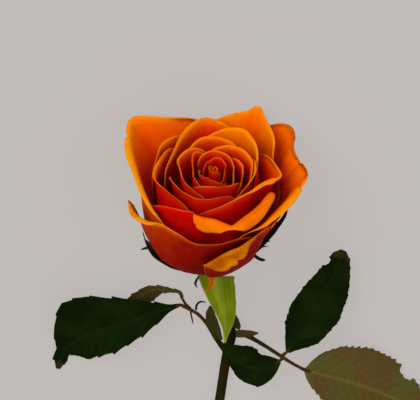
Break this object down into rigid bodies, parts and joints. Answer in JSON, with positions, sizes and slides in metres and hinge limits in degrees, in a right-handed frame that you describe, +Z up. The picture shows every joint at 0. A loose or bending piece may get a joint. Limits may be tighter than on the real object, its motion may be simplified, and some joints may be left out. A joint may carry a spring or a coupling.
{
  "type": "cut rose",
  "caption": "Open garden rose on a cut leafy stem, lying on its side: cupped whorl of petals over green sepals, compound leaves and prickles.",
  "frame": {"origin": "middle of the footprint, on the surface that the rose lies on", "axes": "+Z up; +Y from the cut end of the stem towards the bloom; +X to the right of the bloom as seen from above with the bloom at the top"},
  "size_m": [0.1654, 0.297, 0.0637],
  "materials": {
    "petal_outer": "velvety satin orange petal",
    "petal_heart": "velvety red-orange petal",
    "sepal_bright": "soft yellow-green",
    "sepal": "matte dark green",
    "hip": "smooth waxy green",
    "leaf": "waxy dark green",
    "leaf_underside": "matte olive-brown underside",
    "leaf_stalk": "smooth green-brown",
    "stem": "smooth olive green with reddish prickles"
  },
  "bodies": {
    "root": {"guard_petal_back": "petal_outer", "guard_petal_front_left": "petal_outer", "guard_petal_front_right": "petal_outer", "guard_petal_left": "petal_outer", "guard_petal_right": "petal_outer", "heart_petal_1": "petal_heart", "heart_petal_2": "petal_heart", "heart_petal_3": "petal_heart", "heart_petal_4": "petal_heart", "hip": "hip", "inner_petal_back": "petal_heart", "inner_petal_front": "petal_heart", "inner_petal_left": "petal_heart", "inner_petal_right": "petal_heart", "leaflet_left_side": "leaf", "leaflet_left_terminal": "leaf", "leaflet_right_lower": "leaf", "leaflet_right_terminal": "leaf_underside", "leaflet_right_upper": "leaf", "middle_petal_back": "petal_heart", "middle_petal_front": "petal_heart", "middle_petal_left": "petal_heart", "middle_petal_lower_right": "petal_heart", "middle_petal_right": "petal_heart", "middle_petal_upper_right": "petal_heart", "outer_petal_front": "petal_outer", "outer_petal_left": "petal_outer", "outer_petal_left_back": "petal_outer", "outer_petal_right_tip": "petal_outer", "outer_petal_top": "petal_outer", "outer_petal_upper_tip": "petal_outer", "rachis_left": "leaf_stalk", "rachis_right": "leaf_stalk", "sepal_back_left": "sepal", "sepal_back_right": "sepal", "sepal_front": "sepal_bright", "sepal_left": "sepal", "sepal_right": "sepal", "stem": "stem", "stipule_left": "leaf_stalk", "stipule_right_lower": "leaf_stalk", "stipule_right_upper": "leaf_stalk"}
  },
  "joints": []
}
